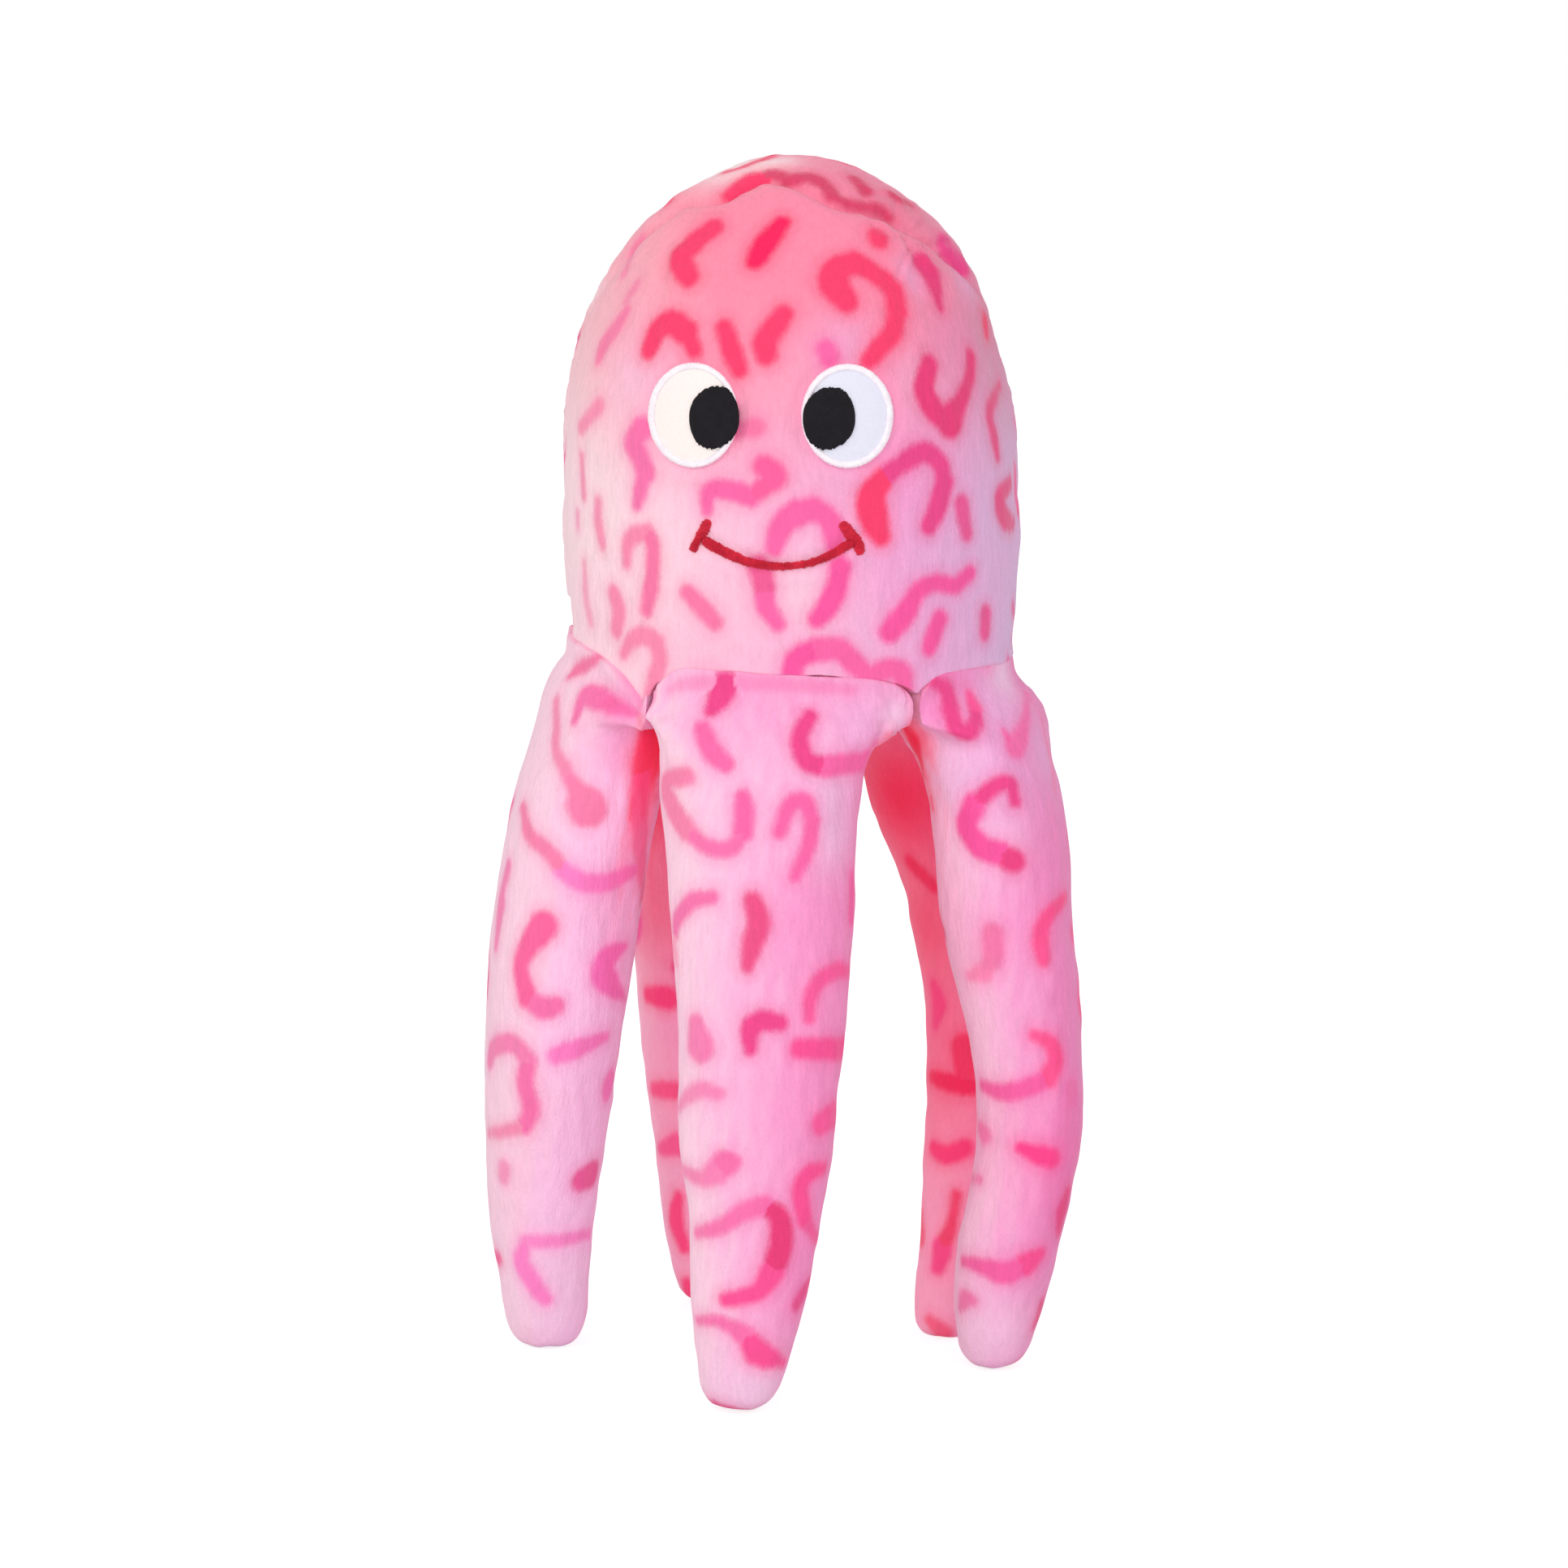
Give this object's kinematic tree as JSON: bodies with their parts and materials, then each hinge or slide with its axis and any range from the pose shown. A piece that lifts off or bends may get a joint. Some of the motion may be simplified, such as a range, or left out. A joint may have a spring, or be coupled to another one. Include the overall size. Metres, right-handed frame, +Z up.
{
  "type": "plush jellyfish dog toy",
  "caption": "Soft plush jellyfish toy: a domed head with an embroidered face stands on stuffed tentacles, in pink leopard-print cloth.",
  "frame": {"origin": "on the floor, under the middle of the bounding box", "axes": "+Z up through the head; the face looks along -Y, and +X is at its right in a front view"},
  "size_m": [0.1476, 0.1334, 0.294],
  "materials": {
    "plush_cloth": "short-pile plush, printed",
    "white_cloth": "smooth cloth patch",
    "white_thread": "satin stitch",
    "black_thread": "satin stitch",
    "red_thread": "satin stitch"
  },
  "bodies": {
    "root": {"head": "plush_cloth", "tentacle_front": "plush_cloth", "tentacle_right": "plush_cloth", "tentacle_rear_right": "plush_cloth", "tentacle_rear_left": "plush_cloth", "tentacle_left": "plush_cloth", "eye_white_left": "white_cloth", "eye_white_right": "white_cloth", "eye_rim_left": "white_thread", "eye_rim_right": "white_thread", "pupil_left": "black_thread", "pupil_right": "black_thread", "smile": "red_thread", "smile_tick_left": "red_thread", "smile_tick_right": "red_thread"}
  },
  "joints": []
}
